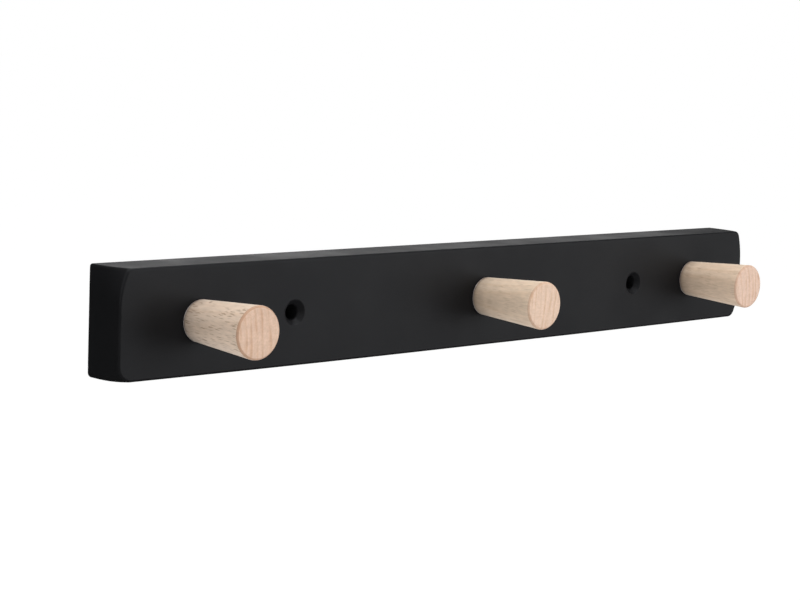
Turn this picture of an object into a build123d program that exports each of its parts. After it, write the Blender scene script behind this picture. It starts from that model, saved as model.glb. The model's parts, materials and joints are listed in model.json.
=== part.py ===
from build123d import *
import os
from collections import namedtuple

# A wall hook rack: a painted board with three turned pegs, each held by a screw from behind.
# The origin is the centre of the board's back, the face that lies on the wall.
# +X runs along the board, +Z is up, and the pegs stand out towards -Y. All sizes are in millimetres.

# How one corner of the board's outline is sanded. The end curves inward over the last `reach` of its
# height, until it meets the long edge `depth` in from the end, and the tip is rounded by `tip_radius`.
Corner = namedtuple("Corner", "reach depth tip_radius")

# Board
BOARD_LENGTH = 400.0
BOARD_HEIGHT = 45.5
BOARD_THICKNESS = 21.0
FRONT_EDGE_RADIUS = 1.1
BACK_EDGE_RADIUS = 0.6
FRONT_CORNERS = {
    (1, 1): Corner(reach=18.0, depth=3.9, tip_radius=4.0),
    (-1, 1): Corner(reach=16.0, depth=4.2, tip_radius=3.0),
    (-1, -1): Corner(reach=8.0, depth=2.2, tip_radius=6.0),
    (1, -1): Corner(reach=16.5, depth=4.8, tip_radius=4.5),
}
BACK_CORNER = Corner(reach=8.0, depth=0.1, tip_radius=1.8)

# Empty holes for the two screws that hold the rack on the wall
WALL_HOLE_FROM_END = 89.0
WALL_HOLE_DIAMETER = 6.5
WALL_SINK_DIAMETER = 11.0

# Pegs, thicker at the free end. They aren't evenly spaced along the board.
LEFT_PEG_FROM_END = 39.5
MIDDLE_PEG_OFFSET = 4.6
RIGHT_PEG_FROM_END = 43.0
PEG_LENGTH = 36.5
PEG_BASE_DIAMETER = 17.4
PEG_TIP_DIAMETER = 21.7
PEG_TIP_EDGE_RADIUS = 0.8

# Countersunk screws that hold the pegs, driven from the back of the board
SCREW_LENGTH = 40.0
SCREW_DIAMETER = 4.0
SCREW_CORE_DIAMETER = 2.7
SCREW_SHANK_DIAMETER = 2.9
SCREW_HEAD_DIAMETER = 8.0
SCREW_HEAD_RIM = 0.4
SCREW_HEAD_RECESS = 0.9
SCREW_THREAD_LENGTH = 26.0
SCREW_THREAD_PITCH = 2.0
SCREW_THREAD_ROOT_WIDTH = 0.9
SCREW_POINT_LENGTH = 4.0
CLEARANCE_HOLE_DIAMETER = 4.5
DRIVE_SLOT_LENGTH = 4.4
DRIVE_SLOT_WIDTH = 0.9
DRIVE_SLOT_DEPTH = 1.5

# How far a cut runs past the face it opens
CUT_OVERRUN = 1.0

PEG_CENTRES = {
    "left": -BOARD_LENGTH / 2 + LEFT_PEG_FROM_END,
    "middle": MIDDLE_PEG_OFFSET,
    "right": BOARD_LENGTH / 2 - RIGHT_PEG_FROM_END,
}
WALL_HOLE_X = BOARD_LENGTH / 2 - WALL_HOLE_FROM_END


def revolved(profile):
    """A turned solid about the Y axis. Each point is (radius, distance in front of the back face)."""
    points = [(radius, -distance) for radius, distance in profile]
    return revolve(make_face(Polyline(*points, close=True)), Axis.Y)


def board_outline(corners):
    """The board's outline seen from the front, as a face in the plane of the back."""
    half_length = BOARD_LENGTH / 2
    half_height = BOARD_HEIGHT / 2
    tips = {}
    starts = {}
    for (side, level), corner in corners.items():
        tips[side, level] = (side * (half_length - corner.depth), level * half_height)
        starts[side, level] = (side * half_length, level * (half_height - corner.reach))
    edges = [Line(tips[-1, level], tips[1, level]) for level in (-1, 1)]
    edges += [Line(starts[side, -1], starts[side, 1]) for side in (-1, 1)]
    for side, level in corners:
        edges.append(TangentArc(starts[side, level], tips[side, level], tangent=(0, level)))
    outline = make_face(Curve() + edges)
    for key, corner in corners.items():
        tip = outline.vertices().sort_by_distance((*tips[key], 0))[0]
        outline = fillet(tip, corner.tip_radius)
    return Plane.XZ * outline


def board_blank():
    """The board before drilling: its outline softens from the square back to the sanded front."""
    back = board_outline({key: BACK_CORNER for key in FRONT_CORNERS})
    front = board_outline(FRONT_CORNERS).moved(Pos(0, -BOARD_THICKNESS, 0))
    blank = loft([back, front], ruled=True)
    blank = fillet(blank.faces().sort_by(Axis.Y)[0].edges(), FRONT_EDGE_RADIUS)
    return fillet(blank.faces().sort_by(Axis.Y)[-1].edges(), BACK_EDGE_RADIUS)


def wall_hole():
    """The space of one wall-screw hole, with its 90 degree countersink in the front."""
    hole_radius = WALL_HOLE_DIAMETER / 2
    sink_radius = WALL_SINK_DIAMETER / 2
    sink_bottom = BOARD_THICKNESS - (sink_radius - hole_radius)
    return revolved([
        (0, -CUT_OVERRUN),
        (hole_radius, -CUT_OVERRUN),
        (hole_radius, sink_bottom),
        (sink_radius + CUT_OVERRUN, BOARD_THICKNESS + CUT_OVERRUN),
        (0, BOARD_THICKNESS + CUT_OVERRUN),
    ])


def screw_hole():
    """The space of one peg screw in the board: a recess and seat for the head, and a clearance hole."""
    head_radius = SCREW_HEAD_DIAMETER / 2
    hole_radius = CLEARANCE_HOLE_DIAMETER / 2
    seat_top = SCREW_HEAD_RECESS + SCREW_HEAD_RIM
    seat_bottom = seat_top + head_radius - hole_radius
    return revolved([
        (0, -CUT_OVERRUN),
        (head_radius, -CUT_OVERRUN),
        (head_radius, seat_top),
        (hole_radius, seat_bottom),
        (hole_radius, BOARD_THICKNESS + CUT_OVERRUN),
        (0, BOARD_THICKNESS + CUT_OVERRUN),
    ])


def screw_profile():
    """Half the screw's section. The thread is a row of sharp rings of the thread's pitch."""
    core = SCREW_CORE_DIAMETER / 2
    shank = SCREW_SHANK_DIAMETER / 2
    crest = SCREW_DIAMETER / 2
    head = SCREW_HEAD_DIAMETER / 2
    head_top = SCREW_HEAD_RECESS
    rim_end = head_top + SCREW_HEAD_RIM
    tip = head_top + SCREW_LENGTH
    profile = [(0, head_top), (head, head_top), (head, rim_end), (shank, rim_end + head - shank)]
    ring = tip - SCREW_THREAD_LENGTH
    profile += [(shank, ring - SCREW_THREAD_PITCH), (core, ring - SCREW_THREAD_PITCH / 2)]
    while ring + SCREW_THREAD_PITCH < tip - SCREW_POINT_LENGTH:
        profile += [
            (core, ring),
            (crest, ring + SCREW_THREAD_ROOT_WIDTH / 2),
            (core, ring + SCREW_THREAD_ROOT_WIDTH),
        ]
        ring += SCREW_THREAD_PITCH
    profile += [(core, tip - SCREW_POINT_LENGTH), (0, tip)]
    return profile


def screw_solid():
    """A countersunk wood screw lying along Y, before its driving recess is cut."""
    return revolved(screw_profile())


def drive_recess():
    """The cross-shaped driving recess in the screw's head."""
    centre = SCREW_HEAD_RECESS + DRIVE_SLOT_DEPTH / 2
    slot = Pos(0, -centre, 0) * Box(DRIVE_SLOT_LENGTH, DRIVE_SLOT_DEPTH, DRIVE_SLOT_WIDTH)
    return slot + Rot(0, 90, 0) * slot


def peg_solid():
    """One turned peg standing on the board's front, bored for its screw."""
    front = BOARD_THICKNESS
    base_radius = PEG_BASE_DIAMETER / 2
    tip_radius = PEG_TIP_DIAMETER / 2
    cone = revolved([
        (0, front),
        (base_radius, front),
        (tip_radius, front + PEG_LENGTH),
        (0, front + PEG_LENGTH),
    ])
    cone = fillet(cone.faces().sort_by(Axis.Y)[0].edges(), PEG_TIP_EDGE_RADIUS)
    return cone - screw_solid()


def board_solid():
    """The board with its wall-screw holes and its peg-screw holes."""
    board = board_blank()
    for side in (-1, 1):
        board -= Pos(side * WALL_HOLE_X, 0, 0) * wall_hole()
    for x in PEG_CENTRES.values():
        board -= Pos(x, 0, 0) * screw_hole()
    return board


def write(node, shape):
    """Writes one piece to its own file."""
    solids = shape.solids()
    assert len(solids) == 1, f"{node} is {len(solids)} solids"
    solids[0].label = node
    export_step(solids[0], f"parts/{node}.step")
    print(node, "volume", round(solids[0].volume, 1), "mm3")


os.makedirs("parts", exist_ok=True)
write("board", board_solid())
peg = peg_solid()
screw = screw_solid() - drive_recess()
for name, x in PEG_CENTRES.items():
    write(f"peg_{name}", Pos(x, 0, 0) * peg)
    write(f"peg_screw_{name}", Pos(x, 0, 0) * screw)
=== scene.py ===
import json
import math
from collections import namedtuple

import bmesh
import bpy
from mathutils import Matrix, Vector, noise
from mathutils.geometry import delaunay_2d_cdt


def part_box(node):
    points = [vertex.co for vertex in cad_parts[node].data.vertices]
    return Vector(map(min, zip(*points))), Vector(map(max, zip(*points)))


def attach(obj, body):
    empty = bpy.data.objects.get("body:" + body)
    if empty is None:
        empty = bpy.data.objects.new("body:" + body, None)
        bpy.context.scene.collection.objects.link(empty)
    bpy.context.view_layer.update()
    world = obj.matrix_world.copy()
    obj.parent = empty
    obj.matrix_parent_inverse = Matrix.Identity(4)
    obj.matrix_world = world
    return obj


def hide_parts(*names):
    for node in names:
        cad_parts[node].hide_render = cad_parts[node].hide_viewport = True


# The looks of a wall hook rack: a board in matt black paint, turned beech pegs and their screws.
# Everything is in metres. The pegs stand out towards -Y, +X runs along the board and +Z is up.

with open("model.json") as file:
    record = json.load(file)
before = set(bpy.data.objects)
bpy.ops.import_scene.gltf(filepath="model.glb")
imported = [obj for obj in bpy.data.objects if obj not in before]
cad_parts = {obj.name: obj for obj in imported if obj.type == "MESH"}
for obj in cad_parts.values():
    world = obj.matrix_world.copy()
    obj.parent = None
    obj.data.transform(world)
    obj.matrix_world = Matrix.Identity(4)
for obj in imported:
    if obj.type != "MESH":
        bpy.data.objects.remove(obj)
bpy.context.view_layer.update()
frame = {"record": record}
MM = 0.001
SIDES = ("left", "middle", "right")

# One corner of the board's outline. The end curves inward over the last `reach` of its height, until it
# meets the long edge `depth` in from the end, and the tip is rounded by `tip`.
Corner = namedtuple("Corner", "reach depth tip")

# The wood of a peg: direction across the growth rings in degrees, distance to the tree's middle, how
# strong its figure is, and the colours of its side and its end
Wood = namedtuple("Wood", "turn pith figure side_colour end_colour")

# A light: where it is, its width, its height and its power in watts
Light = namedtuple("Light", "place width height power")

# Board, with its box from the frame. Its back is nearly square, and the corners soften towards the front
# with this power of the distance from the back.
BOARD_LOW, BOARD_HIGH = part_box("board")
HALF_LENGTH = (BOARD_HIGH.x - BOARD_LOW.x) / 2
HALF_HEIGHT = (BOARD_HIGH.z - BOARD_LOW.z) / 2
THICKNESS = BOARD_HIGH.y - BOARD_LOW.y
SOFTENING_POWER = 3
FRONT_CORNERS = {
    (1, 1): Corner(17.0 * MM, 3.5 * MM, 3.6 * MM),
    (-1, 1): Corner(16.0 * MM, 4.2 * MM, 3.0 * MM),
    (-1, -1): Corner(7.5 * MM, 1.8 * MM, 6.5 * MM),
    (1, -1): Corner(17.0 * MM, 4.9 * MM, 5.0 * MM),
}
BACK_CORNERS = {
    (1, 1): Corner(8.0 * MM, 0.1 * MM, 1.8 * MM),
    (-1, 1): Corner(8.0 * MM, 0.1 * MM, 1.2 * MM),
    (-1, -1): Corner(8.0 * MM, 0.1 * MM, 2.1 * MM),
    (1, -1): Corner(8.0 * MM, 0.1 * MM, 1.8 * MM),
}

# How far the bottom front edge rises at the left end and at the right end, and the share of the board's
# half length at which the rise begins
BOTTOM_RISE = {-1: 0.8 * MM, 1: 0.4 * MM}
RISE_START = 0.2

# Edges of the board and its mesh. The support is a narrow flat strip beside each rounded edge.
FRONT_EDGE_RADIUS = 1.0 * MM
BACK_EDGE_RADIUS = 0.6 * MM
SUPPORT = 0.15 * MM
MESH_STEP = 2.4 * MM
UNDULATION = 0.05 * MM

# How far the ends and the long edges are bent while a flat face is divided, as shares of their distance
# from the middle, and the distance below which two points count as one
END_BOW = 0.002
LONG_BOW = 0.02
SAME_POINT = 1e-9

# Holes
MOUNTS = {mount["name"]: mount for mount in frame["record"]["mounts"]}
WALL_HOLES = [MOUNTS["wall_hole_left"], MOUNTS["wall_hole_right"]]
SINK_RADIUS = 5.5 * MM
SINK_EDGE_RADIUS = 0.3 * MM
CLEARANCE_RADIUS = 2.25 * MM
HOLE_POINTS = 64

# Pegs
PEG_BASE_RADIUS = 8.7 * MM
PEG_EDGE_RADIUS = 1.1 * MM
PEG_POINTS = 128

RING_WIDTH = 2.9 * MM
PEG_WOOD = {
    "left": Wood(4, 70 * MM, 1.0, (0.745, 0.59, 0.465), (0.645, 0.46, 0.35)),
    "middle": Wood(-5, 110 * MM, 0.4, (0.73, 0.575, 0.435), (0.68, 0.505, 0.39)),
    "right": Wood(9, 60 * MM, 0.4, (0.70, 0.54, 0.405), (0.655, 0.475, 0.375)),
}

# Screws
CORE_RADIUS = 1.35 * MM
SHANK_RADIUS = 1.45 * MM
CREST_RADIUS = 2.0 * MM
HEAD_RIM = 0.4 * MM
PITCH = 2.0 * MM
THREAD_LENGTH = 26.0 * MM
POINT_LENGTH = 4.0 * MM
SLOT_HALF_LENGTH = 2.2 * MM
SLOT_HALF_WIDTH = 0.45 * MM
SLOT_DEPTH = 1.5 * MM
SCREW_POINTS = 48

# Camera, with its angles in degrees and its lens in millimetres
CAMERA_AIM = Vector((-29.8, 0.0, -2.35)) * MM
CAMERA_DISTANCE = 865.9 * MM
CAMERA_AZIMUTH = -44.13
CAMERA_ELEVATION = 7.57
CAMERA_ROLL = 2.41
CAMERA_LENS = 85.64

# Floor, well below the rack, which hangs on its wall
FLOOR_DROP = 0.35
FLOOR_SIZE = 60.0

LIGHTS = {
    "right_panel": Light((0.9, -1.2, 0.2), 1.6, 1.2, 11.4),
    "right_spot": Light((0.55, -1.15, 0.15), 0.5, 0.5, 3.0),
    "top": Light((0.1, -0.2, 1.5), 1.5, 1.0, 30.0),
    "back": Light((0.9, 1.36, 0.45), 1.4, 0.8, 3.4),
    "left": Light((-1.2, -0.5, 0.7), 1.2, 1.0, 7.5),
    "behind": Light((0.5, 1.5, -0.2), 1.4, 0.6, 16.0),
}


# ---------------------------------------------------------------- mesh tools

def new_piece(name, mesh_data, material, node):
    """A smooth-shaded piece that stands for a CAD node."""
    bmesh.ops.recalc_face_normals(mesh_data, faces=mesh_data.faces)
    mesh = bpy.data.meshes.new(name)
    mesh_data.to_mesh(mesh)
    mesh_data.free()
    mesh.materials.append(material)
    mesh.polygons.foreach_set("use_smooth", [True] * len(mesh.polygons))
    piece = bpy.data.objects.new(name, mesh)
    bpy.context.scene.collection.objects.link(piece)
    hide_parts(node)
    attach(piece, "root")
    return piece


def arc(centre, radius, start, end, count):
    """Points on an arc, from one angle in degrees to another, both ends included."""
    angles = [math.radians(start + (end - start) * i / (count - 1)) for i in range(count)]
    return [centre + radius * Vector((math.cos(a), math.sin(a))) for a in angles]


def between(start, end, count):
    """Even points strictly between two others."""
    return [start.lerp(end, i / count) for i in range(1, count)]


def bridge(mesh, first, second):
    """Quads between two rings with the same number of vertices."""
    for i in range(len(first)):
        j = (i + 1) % len(first)
        mesh.faces.new((first[i], first[j], second[j], second[i]))


def bridge_all(mesh, rings):
    for first, second in zip(rings, rings[1:]):
        bridge(mesh, first, second)


def circle(mesh, centre, radius, y, count):
    """A ring of vertices about a line along Y. radius is a number or a function of the turn."""
    ring = []
    for i in range(count):
        turn = 2 * math.pi * i / count
        reach = radius(turn) if callable(radius) else radius
        ring.append(mesh.verts.new((centre.x + reach * math.cos(turn), y, centre.y + reach * math.sin(turn))))
    return ring


def close(mesh, ring, centre, y):
    """A fan of triangles that closes a ring."""
    middle = mesh.verts.new((centre.x, y, centre.y))
    for i in range(len(ring)):
        mesh.faces.new((middle, ring[i], ring[(i + 1) % len(ring)]))


def middle_of(node):
    """The X and Z of the middle of a node's box."""
    low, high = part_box(node)
    return Vector(((low.x + high.x) / 2, (low.z + high.z) / 2))


def inside(point, loop):
    """Whether a point lies inside a closed loop."""
    crossings = 0
    for i, b in enumerate(loop):
        a = loop[i - 1]
        if (a.y > point.y) != (b.y > point.y):
            crossings += a.x + (point.y - a.y) * (b.x - a.x) / (b.y - a.y) > point.x
    return crossings % 2 == 1


def spread(loops, step):
    """Points in even staggered rows over the area between an outer loop and its holes."""
    border = [p for loop in loops for p in loop]
    width = max(p.x for p in loops[0])
    height = max(p.y for p in loops[0])
    rows = round(2 * height / step)
    columns = round(2 * width / step)
    points = []
    for row in range(1, rows):
        for column in range(1, columns):
            x = width * (2 * (column + 0.5 * (row % 2)) / columns - 1)
            point = Vector((x, height * (2 * row / rows - 1)))
            if min((point - p).length_squared for p in border) < (0.6 * step) ** 2:
                continue
            if inside(point, loops[0]) and not any(inside(point, loop) for loop in loops[1:]):
                points.append(point)
    return points


def bowed(point):
    """A point moved so that the board's straight edges bend inwards, which keeps out flat triangles."""
    x = point.x * (1 - END_BOW * (1 - (point.y / HALF_HEIGHT) ** 2))
    return Vector((x, point.y * (1 - LONG_BOW * (1 - (point.x / HALF_LENGTH) ** 2))))


def fill_flat(mesh, outer, holes, y, step=None):
    """Triangles over a flat face at one y, between an outer ring and the rings of its holes."""
    rings = [outer] + holes
    loops = [[Vector((v.co.x, v.co.z)) for v in ring] for ring in rings]
    owners = [v for ring in rings for v in ring]
    points = [p for loop in loops for p in loop]
    edges = []
    for loop in loops:
        start = len(edges)
        edges += [(start + i, start + (i + 1) % len(loop)) for i in range(len(loop))]
    if step:
        points += spread(loops, step)
    loops = [[bowed(p) for p in loop] for loop in loops]
    bent = [bowed(p) for p in points]
    places, _, triangles, origins, _, _ = delaunay_2d_cdt(bent, edges, [], 0, SAME_POINT)
    owners += [mesh.verts.new((p.x, y, p.y)) for p in points[len(owners):]]
    for triangle in triangles:
        middle = sum((places[i] for i in triangle), Vector((0, 0))) / 3
        if inside(middle, loops[0]) and not any(inside(middle, loop) for loop in loops[1:]):
            mesh.faces.new([owners[origins[i][0]] for i in triangle])


# ---------------------------------------------------------------- board

def corner_points(side, level, corner):
    """One corner of the outline: its long sweep from the end, then its small tip on the long edge."""
    reach, depth, tip = corner
    sweep = (reach * reach + depth * depth) / (2 * depth)
    sweep_centre = Vector((HALF_LENGTH - sweep, HALF_HEIGHT - reach))
    tip_x = math.sqrt((sweep - tip) ** 2 - (reach - tip) ** 2)
    tip_centre = sweep_centre + Vector((tip_x, reach - tip))
    meeting = math.degrees(math.atan2(reach - tip, tip_x))
    points = arc(sweep_centre, sweep, 0, meeting, 9)
    points += arc(tip_centre, tip, meeting, 90, 9)[1:]
    return [Vector((side * p.x, level * p.y)) for p in points]


def outline(corners):
    """The board's outline as a closed loop, anticlockwise as seen from the front."""
    top_right = corner_points(1, 1, corners[1, 1])
    top_left = corner_points(-1, 1, corners[-1, 1])[::-1]
    bottom_left = corner_points(-1, -1, corners[-1, -1])
    bottom_right = corner_points(1, -1, corners[1, -1])[::-1]
    long_count = round(2 * HALF_LENGTH / MESH_STEP)
    end_count = round(HALF_HEIGHT / MESH_STEP)
    loop = top_right + between(top_right[-1], top_left[0], long_count)
    loop += top_left + between(top_left[-1], bottom_left[0], end_count)
    loop += bottom_left + between(bottom_left[-1], bottom_right[0], long_count)
    loop += bottom_right + between(bottom_right[-1], top_right[0], end_count)
    return loop


def risen(point):
    """A point of the front outline, with the bottom edge sanded up a little towards its ends."""
    share = max(0.0, abs(point.x) / HALF_LENGTH - RISE_START) / (1 - RISE_START)
    drop = max(0.0, -point.y / HALF_HEIGHT)
    return point + Vector((0, BOTTOM_RISE[1 if point.x > 0 else -1] * share * share * drop))


def inset_loop(loop, inset):
    """An anticlockwise loop moved inwards."""
    moved = []
    for i, point in enumerate(loop):
        tangent = (loop[(i + 1) % len(loop)] - loop[i - 1]).normalized()
        moved.append(point + inset * Vector((-tangent.y, tangent.x)))
    return moved


def shell_rings():
    """(inset, distance in front of the back) of each ring round the board, from back to front."""
    rings = [(BACK_EDGE_RADIUS + SUPPORT, 0.0)]
    for i in range(7):
        angle = math.radians(90 * i / 6)
        inset = BACK_EDGE_RADIUS * (1 - math.sin(angle))
        rings.append((inset, BACK_EDGE_RADIUS * (1 - math.cos(angle))))
    start = BACK_EDGE_RADIUS + SUPPORT
    end = THICKNESS - FRONT_EDGE_RADIUS - SUPPORT
    rings += [(0.0, start + (end - start) * i / 8) for i in range(9)]
    for i in range(9):
        angle = math.radians(90 * i / 8)
        inset = FRONT_EDGE_RADIUS * (1 - math.cos(angle))
        rings.append((inset, THICKNESS - FRONT_EDGE_RADIUS * (1 - math.sin(angle))))
    rings.append((FRONT_EDGE_RADIUS + SUPPORT, THICKNESS))
    return rings


def wall_hole_profile(hole_radius):
    """(radius, distance in front of the back) along a wall-screw hole, from the front to the back."""
    edge = SINK_EDGE_RADIUS
    start = SINK_RADIUS + edge * math.tan(math.radians(22.5))
    profile = [(start + SUPPORT, THICKNESS)]
    for i in range(5):
        angle = math.radians(45 * i / 4)
        profile.append((start - edge * math.sin(angle), THICKNESS - edge * (1 - math.cos(angle))))
    throat = THICKNESS - (SINK_RADIUS - hole_radius)
    profile += [(hole_radius + offset * MM, throat + offset * MM) for offset in (1.2, 0.2)]
    profile += [(hole_radius + 0.05 * MM, throat), (hole_radius, throat - 0.25 * MM)]
    profile += [(hole_radius, throat * share) for share in (0.75, 0.5, 0.25)]
    profile += [(hole_radius, 0.4 * MM), (hole_radius + 0.05 * MM, 0.15 * MM), (hole_radius + 0.2 * MM, 0)]
    return profile


def screw_hole_profile(head_radius, recess):
    """(radius, distance in front of the back) along a peg-screw hole, from the front to the back."""
    seat_top = recess + HEAD_RIM
    seat_bottom = seat_top + head_radius - CLEARANCE_RADIUS
    return [
        (CLEARANCE_RADIUS, THICKNESS),
        (CLEARANCE_RADIUS, seat_bottom + 0.1 * MM),
        (CLEARANCE_RADIUS + 0.05 * MM, seat_bottom),
        (head_radius, seat_top + 0.02 * MM),
        (head_radius, seat_top - 0.1 * MM),
        (head_radius, 0.3 * MM),
        (head_radius + 0.04 * MM, 0.1 * MM),
        (head_radius + 0.15 * MM, 0),
    ]


def holes_of_board():
    """(middle, profile) of each hole through the board."""
    found = []
    for mount in WALL_HOLES:
        x, _, z = mount["pos_m"]
        found.append((Vector((x, z)), wall_hole_profile(mount["dims"]["r_mm"] * MM)))
    for side in SIDES:
        low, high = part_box(f"peg_screw_{side}")
        found.append((middle_of(f"peg_screw_{side}"), screw_hole_profile((high.x - low.x) / 2, -high.y)))
    return found


def undulate(mesh):
    """Presses the sanded faces in by a few hundredths of a millimetre here and there."""
    mesh.normal_update()
    for vertex in mesh.verts:
        if vertex.co.y < -2 * BACK_EDGE_RADIUS:
            wave = noise.noise(Vector((vertex.co.x * 25, vertex.co.y * 60, vertex.co.z * 60)))
            vertex.co -= vertex.normal * UNDULATION * (0.5 + 0.5 * wave)


def make_board(material):
    """The board: a shell whose outline softens from back to front, with its five holes."""
    mesh = bmesh.new()
    back = outline(BACK_CORNERS)
    front = [risen(p) for p in outline(FRONT_CORNERS)]
    rings = []
    for inset, distance in shell_rings():
        loop = [b.lerp(f, (distance / THICKNESS) ** SOFTENING_POWER) for b, f in zip(back, front)]
        rings.append([mesh.verts.new((p.x, -distance, p.y)) for p in inset_loop(loop, inset)])
    bridge_all(mesh, rings)
    front_holes = []
    back_holes = []
    for middle, profile in holes_of_board():
        walls = [circle(mesh, middle, radius, -distance, HOLE_POINTS) for radius, distance in profile]
        bridge_all(mesh, walls)
        front_holes.append(walls[0])
        back_holes.append(walls[-1])
    fill_flat(mesh, rings[-1], front_holes, -THICKNESS, MESH_STEP)
    fill_flat(mesh, rings[0], back_holes, 0.0, 2 * MESH_STEP)
    bmesh.ops.recalc_face_normals(mesh, faces=mesh.faces)
    undulate(mesh)
    board = new_piece("board_painted", mesh, material, "board")
    board.modifiers.new("even shading", "WEIGHTED_NORMAL").weight = 50
    return board


# ---------------------------------------------------------------- pegs

def peg_profile(tip_y, base_y, tip_radius, bore_end):
    """(radius, y) of each ring of a peg, from its free end round to the bottom of its screw bore."""
    flat = tip_radius - PEG_EDGE_RADIUS
    profile = [(flat * share, tip_y) for share in (0.1, 0.25, 0.4, 0.55, 0.7, 0.85, 0.97, 1)]
    for i in range(1, 7):
        angle = math.radians(15 * i)
        lift = PEG_EDGE_RADIUS * (1 - math.cos(angle))
        profile.append((flat + PEG_EDGE_RADIUS * math.sin(angle), tip_y + lift))
    start = tip_y + PEG_EDGE_RADIUS
    rows = 30
    for i in range(1, rows + 1):
        share = i / rows
        radius = tip_radius + (PEG_BASE_RADIUS - tip_radius) * share
        profile.append((radius, start + (base_y - start) * share))
    profile += [(PEG_BASE_RADIUS * share, base_y) for share in (0.98, 0.5)]
    bore = [(CORE_RADIUS, base_y + (bore_end - base_y) * share) for share in (0, 0.01, 0.5, 0.99, 1)]
    return profile + bore


def make_peg(side, material):
    """One turned peg, with the faint unevenness of the lathe and of hand sanding."""
    node = f"peg_{side}"
    low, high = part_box(node)
    middle = middle_of(node)
    bore_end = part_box(f"peg_screw_{side}")[0].y
    mesh = bmesh.new()
    profile = peg_profile(low.y, high.y, (high.x - low.x) / 2, bore_end)
    rings = [circle(mesh, middle, radius, y, PEG_POINTS) for radius, y in profile]
    bridge_all(mesh, rings)
    close(mesh, rings[0], middle, low.y)
    close(mesh, rings[-1], middle, bore_end)
    for vertex in mesh.verts:
        out = Vector((vertex.co.x - middle.x, 0, vertex.co.z - middle.y))
        if out.length > 0.6 * PEG_BASE_RADIUS and vertex.co.y < high.y - SUPPORT:
            tool_mark = noise.noise(Vector((vertex.co.y * 900, middle.x * 90, 0)))
            sanding = noise.noise(vertex.co * 160)
            vertex.co -= out.normalized() * (0.03 + 0.012 * tool_mark + 0.02 * sanding) * MM
    return new_piece(f"peg_{side}_turned", mesh, material, node)


# ---------------------------------------------------------------- screws

def thread_radius(distance, tip):
    """The screw's radius at a distance from its head's top, as a function of the turn about its axis."""
    start = tip - THREAD_LENGTH
    taper = min(1.0, (tip - distance) / POINT_LENGTH)
    grow = min(1.0, max(0.0, (distance - start) / PITCH))
    core = CORE_RADIUS if distance > start else SHANK_RADIUS

    def radius(turn):
        phase = (distance / PITCH - turn / (2 * math.pi)) % 1
        ridge = max(0.0, 1 - abs(phase - 0.5) / 0.22)
        return max(0.02 * MM, taper * (core + (CREST_RADIUS - core) * ridge * grow))

    return radius


def cross_loop():
    """The outline of a cross-shaped driving recess, as points about its middle."""
    a, b = SLOT_HALF_WIDTH, SLOT_HALF_LENGTH
    arm = [Vector((b, -a)), Vector((b, a)), Vector((a * 1.3, a * 1.3))]
    return [Matrix.Rotation(math.radians(90 * i), 2) @ p for i in range(4) for p in arm]


def make_screw(side, material):
    """One countersunk wood screw with a helical thread and a cross recess, its head towards +Y."""
    node = f"peg_screw_{side}"
    low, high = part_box(node)
    middle = middle_of(node)
    head_radius = (high.x - low.x) / 2
    mesh = bmesh.new()
    tip = high.y - low.y
    shank_start = HEAD_RIM + head_radius - SHANK_RADIUS
    head = [(head_radius - 0.12 * MM, 0), (head_radius, 0.1 * MM), (head_radius, HEAD_RIM)]
    head += [(SHANK_RADIUS + 0.5 * MM, shank_start - 0.5 * MM), (SHANK_RADIUS, shank_start + 0.2 * MM)]
    rings = [circle(mesh, middle, radius, high.y - distance, SCREW_POINTS) for radius, distance in head]
    step = PITCH / 12
    distance = shank_start + 4 * step
    while distance < tip:
        radius = thread_radius(distance, tip)
        rings.append(circle(mesh, middle, radius, high.y - distance, SCREW_POINTS))
        distance += step
    bridge_all(mesh, rings)
    close(mesh, rings[-1], middle, low.y)
    recess = []
    for depth, share in ((0, 1.0), (0.1 * MM, 0.93), (SLOT_DEPTH, 0.62)):
        recess.append([mesh.verts.new((middle.x + share * p.x, high.y - depth, middle.y + share * p.y))
                       for p in cross_loop()])
    bridge_all(mesh, recess)
    close(mesh, recess[-1], middle, high.y - SLOT_DEPTH)
    fill_flat(mesh, rings[0], [recess[0]], high.y)
    piece = new_piece(f"peg_screw_{side}_threaded", mesh, material, node)
    piece.modifiers.new("crisp edges", "EDGE_SPLIT").split_angle = math.radians(40)
    return piece


# ---------------------------------------------------------------- materials

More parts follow.
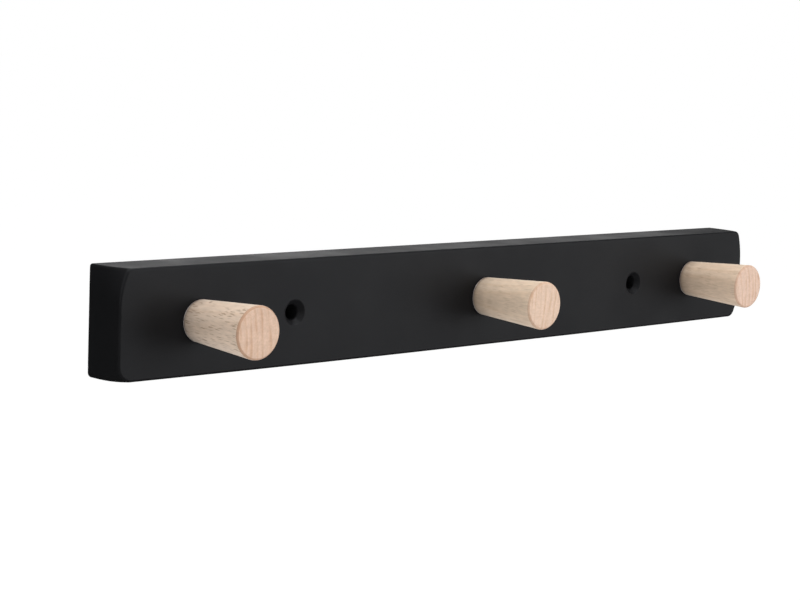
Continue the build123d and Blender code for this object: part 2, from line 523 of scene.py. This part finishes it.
class Shader:
    """A material with one Principled shader, and short ways to build its node tree.

    Each method returns an output socket. An input takes a plain value or another node's output."""

    def __init__(self, name, **surface):
        self.material = bpy.data.materials.new(name)
        self.material.use_nodes = True
        self.tree = self.material.node_tree
        self.tree.nodes.clear()
        self.surface = self.add("BsdfPrincipled", surface)
        self.add("OutputMaterial", {"Surface": self.surface.outputs[0]})

    def add(self, kind, inputs, **settings):
        """Adds a node. inputs maps the name or place of an input to its value."""
        made = self.tree.nodes.new("ShaderNode" + kind)
        for key, value in settings.items():
            setattr(made, key, value)
        for key, value in inputs.items():
            self.feed(made.inputs[key], value)
        return made

    def feed(self, entry, value):
        if isinstance(value, bpy.types.NodeSocket):
            self.tree.links.new(value, entry)
        else:
            entry.default_value = value

    def finish(self, **surface):
        """Feeds the Principled shader and returns the material."""
        for key, value in surface.items():
            self.feed(self.surface.inputs[key.replace("_", " ")], value)
        return self.material

    def place(self, centre=(0, 0, 0), turn=0.0):
        """The object's coordinates from a centre, turned about Y by an angle in degrees."""
        own = self.add("TexCoord", {}).outputs["Object"]
        moved = self.add("VectorMath", {0: own, 1: centre}, operation="SUBTRACT").outputs[0]
        angle = {"Vector": moved, "Angle": math.radians(turn)}
        return self.add("VectorRotate", angle, rotation_type="Y_AXIS").outputs[0]

    def scaled(self, vector, scale):
        return self.add("VectorMath", {0: vector, 1: scale}, operation="MULTIPLY").outputs[0]

    def noise(self, vector, scale, detail=2.0, roughness=0.5):
        inputs = {"Vector": vector, "Scale": scale, "Detail": detail, "Roughness": roughness}
        return self.add("TexNoise", inputs).outputs["Fac"]

    def maths(self, operation, first, second=0.0, clamp=False):
        return self.add("Math", {0: first, 1: second}, operation=operation, use_clamp=clamp).outputs[0]

    def ramp(self, value, *stops):
        """A smooth ramp. Each stop is a place and a grey level or a colour."""
        made = self.add("ValToRGB", {"Fac": value})
        made.color_ramp.interpolation = "EASE"
        elements = made.color_ramp.elements
        while len(elements) < len(stops):
            elements.new(0.5)
        for element, (position, colour) in zip(elements, stops):
            element.position = position
            element.color = (*colour, 1) if isinstance(colour, tuple) else (colour, colour, colour, 1)
        return made.outputs["Color"]

    def mix(self, factor, first, second, blend="MIX"):
        """Mixes two colours, which are sockets or (r, g, b)."""
        colours = [c if isinstance(c, bpy.types.NodeSocket) else (*c, 1) for c in (first, second)]
        inputs = {0: factor, 6: colours[0], 7: colours[1]}
        return self.add("Mix", inputs, data_type="RGBA", blend_type=blend).outputs[2]

    def relief(self, height, distance, strength, under=None):
        """A bump of a height map, on top of an earlier one."""
        inputs = {"Height": height, "Distance": distance, "Strength": strength}
        if under:
            inputs["Normal"] = under
        return self.add("Bump", inputs).outputs[0]


def paint():
    """Matt black paint on fine-grained wood: a rolled skin, faint grain under it and a little dust in it."""
    shade = Shader("black_paint", **{"IOR": 1.5, "Specular IOR Level": 0.115,
                                     "Specular Tint": (0.93, 0.95, 1.0, 1)})
    own = shade.place()
    skin = shade.noise(own, 2200)
    grain = shade.noise(shade.scaled(own, (0.06, 1, 1)), 900, detail=3)
    cloud = shade.noise(own, 40, detail=3)
    tint = shade.ramp(cloud, (0.3, (0.0080, 0.0081, 0.0088)), (0.7, (0.0094, 0.0095, 0.0104)))
    specks = shade.add("TexVoronoi", {"Vector": own, "Scale": 170.0})
    speck = shade.ramp(specks.outputs["Distance"], (0.03, 1.0), (0.07, 0.0))
    chosen = shade.ramp(specks.outputs["Color"], (0.78, 0.0), (0.80, 1.0))
    dust = shade.maths("MULTIPLY", speck, chosen)
    relief = shade.relief(grain, 0.02 * MM, 0.5)
    return shade.finish(
        Base_Color=shade.mix(dust, tint, (0.22, 0.215, 0.21)),
        Roughness=shade.ramp(cloud, (0.3, 0.42), (0.7, 0.52)),
        Normal=shade.relief(skin, 0.02 * MM, 0.6, relief),
    )


def beech(side, turn, pith, figure, side_colour, end_colour):
    """Unfinished beech with its grain along the peg: growth rings, fibres and short ray flecks.

    turn is the direction across the growth rings, in degrees about the peg's axis, pith is how far away
    the middle of the tree was, and figure is the strength of the flecks and of the cut edge."""
    low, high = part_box(f"peg_{side}")
    middle = middle_of(f"peg_{side}")
    shade = Shader(f"beech_{side}", **{"IOR": 1.45, "Specular IOR Level": 0.2,
                                       "Sheen Weight": 0.25, "Sheen Roughness": 0.4})
    own = shade.place((middle.x, high.y, middle.y), turn)

    # Growth rings about the tree's middle: uneven in width, each darkening slowly and ending sharply
    tree = shade.add("VectorMath", {0: own, 1: (pith, pith, 0)}, operation="ADD").outputs[0]
    flattened = shade.scaled(tree, (1, 0, 1))
    distance = shade.add("VectorMath", {0: flattened}, operation="LENGTH").outputs["Value"]
    wander = shade.noise(shade.scaled(tree, (170, 12, 45)), 1.0)
    years = shade.maths("DIVIDE", distance, RING_WIDTH)
    years = shade.maths("ADD", years, shade.maths("MULTIPLY", wander, 1.8))
    year = shade.maths("FRACT", years)
    late = shade.ramp(year, (0.0, 0.5), (0.12, 0.0), (0.5, 0.3), (0.85, 1.0), (1.0, 0.5))
    strength = shade.ramp(shade.noise(shade.scaled(tree, (250, 30, 120)), 1.0), (0.35, 0.25), (0.65, 1.0))
    late = shade.maths("MULTIPLY", late, strength)

    # Rays are thin sheets across the rings, and show as short dashes on a face along the rings
    wave = shade.scaled(shade.noise(tree, 200), (0, 0, 1.5 * MM))
    wavy = shade.add("VectorMath", {0: tree, 1: wave}, operation="ADD").outputs[0]
    rays = shade.add("TexVoronoi", {"Vector": shade.scaled(wavy, (90, 190, 2000)), "Scale": 1.0})
    near = shade.ramp(rays.outputs["Distance"], (0.2, 1.0), (0.48, 0.0))
    some = shade.ramp(rays.outputs["Color"], (0.2, 0.0), (0.75, 1.0))
    fleck = shade.maths("MULTIPLY", near, some)
    fibre = shade.noise(shade.scaled(tree, (4000, 130, 4000)), 1.0)
    streak = shade.noise(shade.scaled(tree, (1300, 110, 1300)), 1.0, detail=3)
    mottle = shade.noise(shade.scaled(tree, (500, 260, 500)), 1.0, detail=3)

    dark_side = tuple(c * k for c, k in zip(side_colour, (0.84, 0.76, 0.68)))
    dark_end = tuple(c * k for c, k in zip(end_colour, (0.80, 0.68, 0.58)))
    fleck_colour = tuple(c * k for c, k in zip(side_colour, (0.50, 0.44, 0.38)))
    side_wood = shade.mix(shade.maths("MULTIPLY", late, 0.45), side_colour, dark_side)
    side_wood = shade.mix(shade.maths("MULTIPLY", fleck, 0.85 * figure), side_wood, fleck_colour)
    end_wood = shade.mix(shade.maths("MULTIPLY", late, 0.8), end_colour, dark_end)
    end_wood = shade.mix(shade.maths("MULTIPLY", fleck, 0.2), end_wood, dark_end)

    # The rounded edge cuts across the grain and takes the colour of the end
    facing = shade.add("SeparateXYZ", {0: shade.add("NewGeometry", {}).outputs["Normal"]}).outputs["Y"]
    facing = shade.maths("ABSOLUTE", facing)
    wood = shade.mix(shade.ramp(facing, (0.15, 0.0), (0.5, 1.0)), side_wood, end_wood)
    # A darker band over the rounded edge, the darkest part of the peg: partly its end grain, partly painted
    # shade of the round-over
    rim_grain_and_shade = shade.ramp(facing, (0.08, 0.0), (0.3, 1.0), (0.9, 1.0), (0.99, 0.0))
    rim_grain_and_shade = shade.maths("MULTIPLY", rim_grain_and_shade, 0.25 + 0.6 * figure)
    wood = shade.mix(rim_grain_and_shade, wood, tuple(0.85 * c for c in dark_end))

    # Painted shade along the peg: darkest where the peg meets the board and paler towards the free end. The
    # grain's streaks and mottle are multiplied in too.
    along = shade.add("SeparateXYZ", {0: own}).outputs["Y"]
    out = shade.maths("DIVIDE", along, low.y - high.y)
    for painted_shade_and_grain_tone in (shade.ramp(out, (0.0, 0.42), (0.09, 0.66), (0.25, 0.84), (0.6, 0.95), (1.0, 1.0)),
                 shade.ramp(streak, (0.3, 0.90), (0.7, 1.0)),
                 shade.ramp(mottle, (0.35, 0.93), (0.65, 1.0))):
        wood = shade.mix(1.0, wood, painted_shade_and_grain_tone, "MULTIPLY")
    relief = shade.relief(fibre, 0.03 * MM, 0.5)
    return shade.finish(
        Base_Color=wood,
        Roughness=shade.ramp(streak, (0.3, 0.55), (0.7, 0.68)),
        Normal=shade.relief(fleck, -0.02 * MM, 0.5, relief),
    )


def steel():
    """Yellow zinc plating, a little cloudy, with fine marks round the axis."""
    shade = Shader("zinc_steel", Metallic=1.0)
    own = shade.place()
    cloud = shade.noise(own, 600, detail=3)
    fine = shade.noise(own, 6000)
    return shade.finish(
        Base_Color=shade.ramp(cloud, (0.3, (0.62, 0.55, 0.36)), (0.7, (0.74, 0.70, 0.55))),
        Roughness=shade.ramp(cloud, (0.3, 0.26), (0.7, 0.42)),
        Normal=shade.relief(fine, 0.01 * MM, 0.4),
    )


# ---------------------------------------------------------------- stage

def make_floor():
    """A plain pale floor that glows evenly and is left out of reflections."""
    shade = Shader("floor", **{"Base Color": (0.02, 0.02, 0.02, 1), "Roughness": 0.9,
                               "Emission Color": (1, 1, 1, 1), "Emission Strength": 1.0})
    mesh_data = bmesh.new()
    bmesh.ops.create_grid(mesh_data, x_segments=8, y_segments=8, size=FLOOR_SIZE / 2)
    mesh = bpy.data.meshes.new("floor")
    mesh_data.to_mesh(mesh)
    mesh_data.free()
    mesh.materials.append(shade.finish())
    floor = bpy.data.objects.new("floor", mesh)
    floor.location.z = BOARD_LOW.z - FLOOR_DROP
    floor.visible_glossy = False
    bpy.context.scene.collection.objects.link(floor)


def make_light(name, place, width, height, power):
    """A soft rectangular light that faces the rack and isn't seen itself."""
    light = bpy.data.lights.new(name, "AREA")
    light.shape = "RECTANGLE"
    light.size = width
    light.size_y = height
    light.energy = power
    lamp = bpy.data.objects.new(name, light)
    lamp.location = place
    lamp.rotation_euler = (-Vector(place)).to_track_quat("-Z", "Y").to_euler()
    lamp.visible_camera = False
    bpy.context.scene.collection.objects.link(lamp)


def make_world(level):
    """An even white surrounding, which lights no surface and is left out of reflections."""
    world = bpy.data.worlds.new("studio")
    bpy.context.scene.world = world
    world.use_nodes = True
    background = world.node_tree.nodes["Background"]
    background.inputs["Color"].default_value = (1, 1, 1, 1)
    background.inputs["Strength"].default_value = level
    world.cycles_visibility.glossy = False
    world.cycles_visibility.diffuse = False


def make_camera():
    """The camera, aimed at a point near the board's middle and tilted a little to one side."""
    azimuth = math.radians(CAMERA_AZIMUTH)
    elevation = math.radians(CAMERA_ELEVATION)
    away = Vector((math.sin(azimuth) * math.cos(elevation), -math.cos(azimuth) * math.cos(elevation),
                   math.sin(elevation)))
    across = Vector((0, 0, 1)).cross(away).normalized()
    upright = away.cross(across)
    turn = Matrix.Rotation(math.radians(CAMERA_ROLL), 3, away)
    axes = Matrix((turn @ across, turn @ upright, away)).transposed()
    data = bpy.data.cameras.new("camera")
    data.lens = CAMERA_LENS
    data.clip_end = 2 * FLOOR_SIZE
    camera = bpy.data.objects.new("camera", data)
    camera.matrix_world = Matrix.Translation(CAMERA_AIM + away * CAMERA_DISTANCE) @ axes.to_4x4()
    bpy.context.scene.collection.objects.link(camera)
    bpy.context.scene.camera = camera


make_camera()
make_board(paint())
steel_material = steel()
for side in SIDES:
    make_peg(side, beech(side, *PEG_WOOD[side]))
    make_screw(side, steel_material)
make_floor()
for name, light in LIGHTS.items():
    make_light(name, *light)
make_world(1.0)
bpy.context.scene.view_settings.view_transform = "Standard"
